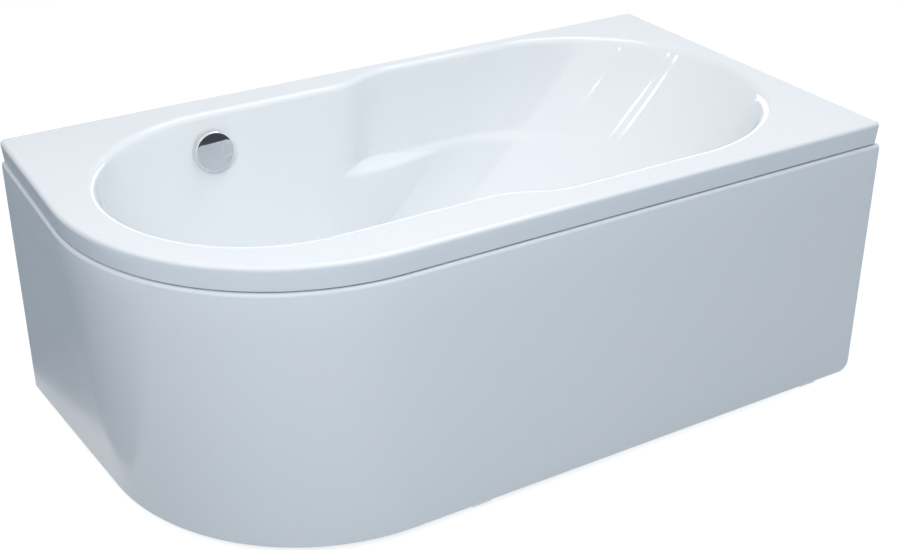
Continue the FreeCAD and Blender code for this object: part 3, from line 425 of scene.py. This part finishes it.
def buildKnob():
    f = knobForm
    bm = bmesh.new()
    crown = f["radius"] - f["edgeRound"]
    ball = (crown ** 2 + f["dome"] ** 2) / (2 * f["dome"])
    shoulder = f["front"] - f["dome"]
    rings = [crown * i / f["domeSteps"] for i in range(f["domeSteps"])]
    profile = [(r, f["front"] - ball + math.sqrt(ball ** 2 - r ** 2)) for r in rings]
    edge = (crown, shoulder - f["edgeRound"])
    profile += roundShoulder(edge, f["edgeRound"], f["edgeStart"], 0, f["edgeSteps"])
    profile += [(f["radius"], f["back"] + f["chamfer"]), (f["radius"] - f["chamfer"], f["back"]),
                (f["radius"] - f["wall"], f["back"]), (f["radius"] - f["wall"], shoulder - 2 * f["wall"]),
                (crown, shoulder - f["wall"]), (f["hub"], shoulder - f["wall"]), (f["hub"], f["hubBack"]),
                (0, f["hubBack"])]
    turnProfile(bm, profile, f["turnSteps"])
    bmesh.ops.transform(bm, matrix=wallSeat(), verts=bm.verts)
    piece = finishMesh("overflowKnob", bm, [chromeTrim], body="knob", smoothAngle=40)
    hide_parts("overflow_knob")


buildKnob()
print("knob built")

# overflow hose: a ribbed sleeve on a smooth line from the overflow body to the waste inlet
hoseForm = {
    "points": ((-0.355, 0.320, 0.4361), (-0.355, 0.281, 0.157),
               (-0.355, 0.206, 0.105), (-0.355, 0.075, 0.105)),
    "length": 0.488, "crest": 0.015, "root": 0.0125, "wall": 0.002, "cuff": 0.03, "ribPitch": 0.0085,
    "cuffEase": 0.2, "lineSteps": 48, "segments": 28,
    "ribShape": ((0.0, 0.0), (0.18, 0.25), (0.3, 0.8), (0.42, 1.0), (0.58, 1.0), (0.7, 0.8), (0.82, 0.25)),
}


def smoothLine(points):
    curve = bpy.data.curves.new("hoseLine", "CURVE")
    curve.dimensions = "3D"
    curve.resolution_u = hoseForm["lineSteps"]
    spline = curve.splines.new("NURBS")
    spline.points.add(len(points) - 1)
    for point, place in zip(spline.points, points):
        point.co = (*place, 1)
    spline.order_u = 3
    spline.use_endpoint_u = True
    holder = bpy.data.objects.new("hoseLine", curve)
    mesh = bpy.data.meshes.new_from_object(holder)
    line = [v.co.copy() for v in mesh.vertices]
    bpy.data.objects.remove(holder)
    bpy.data.meshes.remove(mesh)
    bpy.data.curves.remove(curve)
    return line


def buildHose():
    f = hoseForm
    line = smoothLine(f["points"])
    lengths = [0.0]
    for a, b in zip(line, line[1:]):
        lengths.append(lengths[-1] + (b - a).length)
    total = lengths[-1]

    def onLine(s):
        i = max(k for k, start in enumerate(lengths[:-1]) if start <= s + 1e-9)
        part = (s - lengths[i]) / (lengths[i + 1] - lengths[i])
        return line[i].lerp(line[i + 1], part), (line[i + 1] - line[i]).normalized()

    count = int((total - 2 * f["cuff"]) / f["ribPitch"])
    pitch = (total - 2 * f["cuff"]) / count
    ease = pitch * f["cuffEase"]
    stations = [(0.0, f["crest"]), (f["cuff"] / 2, f["crest"]), (f["cuff"] - ease, f["crest"])]
    for i in range(count):
        for share, rise in f["ribShape"]:
            stations.append((f["cuff"] + pitch * (i + share), f["root"] + (f["crest"] - f["root"]) * rise))
    farCuff = total - f["cuff"]
    stations += [(farCuff, f["root"]), (farCuff + ease, f["crest"]), (total, f["crest"])]
    bm = bmesh.new()
    rings = []
    for s, radius in stations:
        before = set(bm.edges)
        centre, along = onLine(s)
        side = Vector((1, 0, 0))
        turn = Matrix((side, along.cross(side), along)).transposed().to_4x4()
        bmesh.ops.create_circle(bm, segments=f["segments"], radius=radius,
                                matrix=Matrix.Translation(centre) @ turn)
        rings.append(newEdges(bm, before))
    bridgeAll(bm, rings)
    faceOutwards(bm)
    piece = finishMesh("overflowHose", bm, [greyHose], smoothAngle=50)
    thicken(piece, f["wall"], even=False)
    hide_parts("overflow_hose")


buildHose()
print("overflow hose built")

# foot studs: a rolled thread over the full length of each stud
studForm = {
    "places": ((-0.6, -0.165), (-0.6, 0.335), (-0.15, 0.015), (0.64, -0.318), (0.64, 0.335)),
    "low": 0.005, "high": 0.14, "radius": 0.006, "pitch": 0.00175, "depth": 0.0009, "crest": (0.35, 0.6),
    "turnSteps": 24, "leadTurns": 1.5, "spareTurns": 3,
}


def threadRod():
    # one turn of the thread is spun, then doubled until it is long enough, and both ends are cut square
    f = studForm
    radius, pitch, root = f["radius"], f["pitch"], f["radius"] - f["depth"]
    bm = bmesh.new()
    outline = [(root, 0), (radius, f["crest"][0]), (radius, f["crest"][1]), (root, 1)]
    verts = [bm.verts.new((r, 0, f["low"] + pitch * (share - f["leadTurns"]))) for r, share in outline]
    edges = [bm.edges.new(pair) for pair in zip(verts, verts[1:])]
    bmesh.ops.spin(bm, geom=verts + edges, cent=(0, 0, 0), axis=(0, 0, 1), angle=2 * math.pi,
                   dvec=(0, 0, pitch / f["turnSteps"]), steps=f["turnSteps"])
    turns = 1
    while (turns - f["spareTurns"]) * pitch < f["high"] - f["low"]:
        again = bmesh.ops.duplicate(bm, geom=bm.verts[:] + bm.edges[:] + bm.faces[:])["geom"]
        bmesh.ops.translate(bm, vec=(0, 0, pitch * turns),
                            verts=[g for g in again if isinstance(g, bmesh.types.BMVert)])
        turns *= 2
    bmesh.ops.remove_doubles(bm, verts=bm.verts, dist=weldGap)
    for end, away in ((f["low"], -1), (f["high"], 1)):
        bmesh.ops.bisect_plane(bm, geom=bm.verts[:] + bm.edges[:] + bm.faces[:], plane_co=(0, 0, end),
                               plane_no=(0, 0, away), clear_outer=True)
        cut = [e for e in bm.edges if e.is_boundary and all(abs(v.co.z - end) < weldGap for v in e.verts)]
        bmesh.ops.holes_fill(bm, edges=cut)
    faceOutwards(bm)
    return bm


def buildStuds():
    rod = threadRod()
    for number, (x, y) in enumerate(studForm["places"], 1):
        bm = rod.copy()
        bmesh.ops.translate(bm, vec=(x, y, 0), verts=bm.verts)
        piece = finishMesh(f"footStud{number}", bm, [zincSteel], body=f"foot_{number}")
        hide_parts(f"foot_stud_{number}")
    rod.free()


buildStuds()
print("foot studs threaded")

# clip screws: a hexagon head on a washer under the tab of each panel clip
screwForm = {
    "frontStart": -0.24, "frontRun": 0.94, "frontY": -0.3637, "frontShares": (0.06, 0.37, 0.68, 0.96),
    "leftStart": 0.075, "leftRun": 0.309, "leftX": -0.7137, "leftShares": (0.15, 0.85),
    "top": 0.532, "across": 0.0045, "head": 0.0035, "washer": 0.006, "washerHeight": 0.001,
    "washerSides": 32,
}


def buildScrews():
    f = screwForm
    places = [(f["frontStart"] + f["frontRun"] * share, f["frontY"]) for share in f["frontShares"]]
    places += [(f["leftX"], f["leftStart"] + f["leftRun"] * share) for share in f["leftShares"]]
    rounds = ((f["washer"], f["washerHeight"], f["washerSides"]), (f["across"], f["head"], 6))
    bm = bmesh.new()
    for x, y in places:
        top = f["top"]
        for radius, height, sides in rounds:
            bmesh.ops.create_cone(bm, cap_ends=True, segments=sides, radius1=radius, radius2=radius,
                                  depth=height, matrix=Matrix.Translation((x, y, top - height / 2)))
            top -= height
    faceOutwards(bm)
    finishMesh("clipScrews", bm, [zincSteel])


buildScrews()
print("clip screws built")

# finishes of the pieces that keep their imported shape, by the start of their names
keptFinishes = (
    (chipboard, ("base_board",)),
    (timberGrain, ("front_batten", "left_batten")),
    (chromeTrim, ("overflow_rosette", "drain_flange", "drain_plug")),
    (zincSteel, ("overflow_spindle", "plug_stem", "frame_bolts", "end_screw", "end_bracket", "weld_nuts",
                 "lock_nuts", "panel_clips", "panel_brackets")),
    (framePaint, ("frame_rail", "crossbar", "rim_post")),
    (sealRubber, ("overflow_gasket", "drain_gasket", "plug_seal", "post_pads")),
    (whitePlastic, ("overflow_body", "waste_body", "trap_body", "trap_cap", "outlet_pipe")),
    (blackPlastic, ("hose_nut", "trap_nut", "outlet_nut", "foot_pad")),
)
finished = 0
for finish, starts in keptFinishes:
    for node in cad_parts:
        if node.startswith(starts):
            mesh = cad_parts[node].data
            mesh.materials.clear()
            mesh.materials.append(finish)
            finished += 1
print("kept pieces finished:", finished)

# studio: pale floor, white backdrop, soft light from above
studio = {
    "floorSize": 40.0, "floorColor": (0.42, 0.43, 0.44), "floorGlow": 0.8,
    "ambient": (0.80, 0.90, 1.0), "ambientLeft": 0.21, "ambientRight": 0.56,
    "lamps": {
        "keyLamp": {"place": (0.85, 0.36, 2.95), "aim": (0.85, 0.36, 0.0), "size": (1.5, 1.1), "power": 17},
        "topLamp": {"place": (-0.1, -0.8, 2.95), "aim": (-0.1, -0.8, 0.0), "size": (2.0, 0.6), "power": 10,
                    "mirrored": False},
        "frontLamp": {"place": (-1.7, -2.2, 2.6), "aim": (-0.2, -0.3, 0.3), "size": (1.6, 0.8), "power": 49,
                      "mirrored": False},
        "tubeLamp1": {"place": (-1.7, 0.97, 2.8), "aim": (-1.7, 0.97, 0), "size": (0.32, 0.04),
                      "power": 0.9},
        "tubeLamp2": {"place": (-1.665, 0.66, 2.8), "aim": (-1.665, 0.66, 0), "size": (0.24, 0.03),
                      "power": 0.5},
        "spotLamp": {"place": (-1.75, -1.09, 2.8), "aim": (0.5, 0.2, 0.5), "size": (0.045, 0.045),
                     "power": 0.2},
        "backLamp": {"place": (2.6, 3.2, 1.1), "aim": (0.2, 0.0, 0.6), "size": (4.0, 0.9), "power": 30,
                     "lights": False},
        "rearLamp": {"place": (0.3, 3.0, 0.4), "aim": (0.0, 0.4, 0.35), "size": (2.0, 0.6), "power": 16,
                     "mirrored": False},
    },
    "cards": {
        "frontCard": {"color": (0.06, 0.075, 0.095), "place": (0.15, -1.2, 0.96), "size": (2.0, 0.8),
                      "tilt": 90},
        "leftCard": {"color": (0.40, 0.45, 0.51), "place": (-1.18, 1.0, 0.004), "size": (0.8, 2.0),
                     "tilt": 0, "fade": (0.0, 0.55)},
    },
    "cardLift": 1.2, "cardGrain": 2.0, "cardRoughness": (0.8, 0.9),
}


def addLamp(name, place, aim, size, power, mirrored=True, lights=True):
    lamp = bpy.data.lights.new(name, "AREA")
    lamp.shape = "RECTANGLE"
    lamp.size, lamp.size_y = size
    lamp.energy = power
    holder = bpy.data.objects.new(name, lamp)
    bpy.context.scene.collection.objects.link(holder)
    holder.location = place
    holder.rotation_euler = (Vector(aim) - Vector(place)).to_track_quat("-Z", "Y").to_euler()
    holder.visible_glossy = mirrored
    holder.visible_diffuse = lights
    holder.visible_camera = False


def addCard(name, color, place, size, tilt, fade=None):
    # a dark card that only reflections see, a painted reflection of a darker room and floor beyond the bath
    bm = bmesh.new()
    bmesh.ops.create_grid(bm, x_segments=1, y_segments=1, size=0.5)
    bmesh.ops.scale(bm, vec=(*size, 1), verts=bm.verts)
    bmesh.ops.rotate(bm, cent=(0, 0, 0), matrix=Matrix.Rotation(math.radians(tilt), 3, "X"), verts=bm.verts)
    bmesh.ops.translate(bm, vec=place, verts=bm.verts)
    mesh = bpy.data.meshes.new(name)
    bm.to_mesh(mesh)
    bm.free()
    card = bpy.data.objects.new(name, mesh)
    bpy.context.scene.collection.objects.link(card)
    pale = [c * studio["cardLift"] for c in color]
    finish = makeFinish(name, color, pale, studio["cardGrain"], studio["cardRoughness"])
    if fade:  # paler towards the front, so that its edge doesn't show
        nodes, links = finish.node_tree.nodes, finish.node_tree.links
        parts = nodes.new("ShaderNodeSeparateXYZ")
        links.new(nodes["Texture Coordinate"].outputs["Object"], parts.inputs[0])
        faded = addRamp(nodes, links, parts.outputs["Y"], (1, 1, 1), color, *fade)
        links.new(faded, nodes["Principled BSDF"].inputs["Base Color"])
    mesh.materials.append(finish)
    card.visible_camera = card.visible_diffuse = card.visible_shadow = card.visible_transmission = False


def seenRay(nodes, links):
    path = nodes.new("ShaderNodeLightPath")
    first = nodes.new("ShaderNodeMath")
    first.operation = "MAXIMUM"
    links.new(path.outputs["Is Camera Ray"], first.inputs[0])
    links.new(path.outputs["Is Glossy Ray"], first.inputs[1])
    both = nodes.new("ShaderNodeMath")
    both.operation = "MAXIMUM"
    links.new(first.outputs[0], both.inputs[0])
    links.new(path.outputs["Is Transmission Ray"], both.inputs[1])
    return both.outputs[0]


def buildStudio():
    f = studio
    world = bpy.data.worlds.new("studioWorld")
    bpy.context.scene.world = world
    world.use_nodes = True
    nodes, links = world.node_tree.nodes, world.node_tree.links
    soft = nodes["Background"]
    soft.inputs["Color"].default_value = (*f["ambient"], 1)
    parts = nodes.new("ShaderNodeSeparateXYZ")
    links.new(nodes.new("ShaderNodeTexCoord").outputs["Generated"], parts.inputs[0])
    side = nodes.new("ShaderNodeMapRange")
    side.inputs["From Min"].default_value = -1
    side.inputs["To Min"].default_value = f["ambientLeft"]
    side.inputs["To Max"].default_value = f["ambientRight"]
    links.new(parts.outputs["X"], side.inputs["Value"])
    links.new(side.outputs["Result"], soft.inputs["Strength"])
    white = nodes.new("ShaderNodeBackground")
    white.inputs["Color"].default_value = (1, 1, 1, 1)
    white.inputs["Strength"].default_value = 1.0
    mix = nodes.new("ShaderNodeMixShader")
    links.new(seenRay(nodes, links), mix.inputs["Fac"])
    links.new(soft.outputs[0], mix.inputs[1])
    links.new(white.outputs[0], mix.inputs[2])
    links.new(mix.outputs[0], nodes["World Output"].inputs["Surface"])

    bm = bmesh.new()
    bmesh.ops.create_grid(bm, x_segments=1, y_segments=1, size=f["floorSize"] / 2)
    mesh = bpy.data.meshes.new("studioFloor")
    bm.to_mesh(mesh)
    bm.free()
    floor = bpy.data.objects.new("studioFloor", mesh)
    bpy.context.scene.collection.objects.link(floor)
    pale = bpy.data.materials.new("paleFloor")
    pale.use_nodes = True
    nodes, links = pale.node_tree.nodes, pale.node_tree.links
    nodes.remove(nodes["Principled BSDF"])
    matte = nodes.new("ShaderNodeBsdfDiffuse")
    matte.inputs["Color"].default_value = (*f["floorColor"], 1)
    glow = nodes.new("ShaderNodeEmission")
    glow.inputs["Color"].default_value = (1, 1, 1, 1)
    level = nodes.new("ShaderNodeMath")
    level.operation = "MULTIPLY"
    level.inputs[1].default_value = f["floorGlow"]
    links.new(seenRay(nodes, links), level.inputs[0])
    links.new(level.outputs[0], glow.inputs["Strength"])
    both = nodes.new("ShaderNodeAddShader")
    links.new(matte.outputs[0], both.inputs[0])
    links.new(glow.outputs[0], both.inputs[1])
    links.new(both.outputs[0], nodes["Material Output"].inputs["Surface"])
    mesh.materials.append(pale)
    for name, lamp in f["lamps"].items():
        addLamp(name, **lamp)
    for name, card in f["cards"].items():
        addCard(name, **card)


buildStudio()
print("studio built")

# camera at the photograph's viewing angle
cameraForm = {
    "place": (-1.25301, -2.14938, 1.62354), "azimuth": -28.5645, "elevation": 26.440, "roll": -0.9096,
    "lens": 56.109, "sensor": 36.0, "shiftX": 0.05, "shiftY": -0.06, "clipStart": 0.05, "clipEnd": 100,
}


def buildCamera():
    f = cameraForm
    lens = bpy.data.cameras.new("photoCamera")
    lens.sensor_width = f["sensor"]
    lens.lens = f["lens"]
    lens.shift_x, lens.shift_y = f["shiftX"], f["shiftY"]
    lens.clip_start, lens.clip_end = f["clipStart"], f["clipEnd"]
    camera = bpy.data.objects.new("photoCamera", lens)
    bpy.context.scene.collection.objects.link(camera)
    turn = Matrix.Rotation(math.radians(f["azimuth"]), 4, "Z")
    turn = turn @ Matrix.Rotation(quarter - math.radians(f["elevation"]), 4, "X")
    turn = turn @ Matrix.Rotation(math.radians(f["roll"]), 4, "Z")
    camera.matrix_world = Matrix.Translation(f["place"]) @ turn
    bpy.context.scene.camera = camera


buildCamera()
bpy.context.scene.view_settings.view_transform = "Standard"
print("camera set")
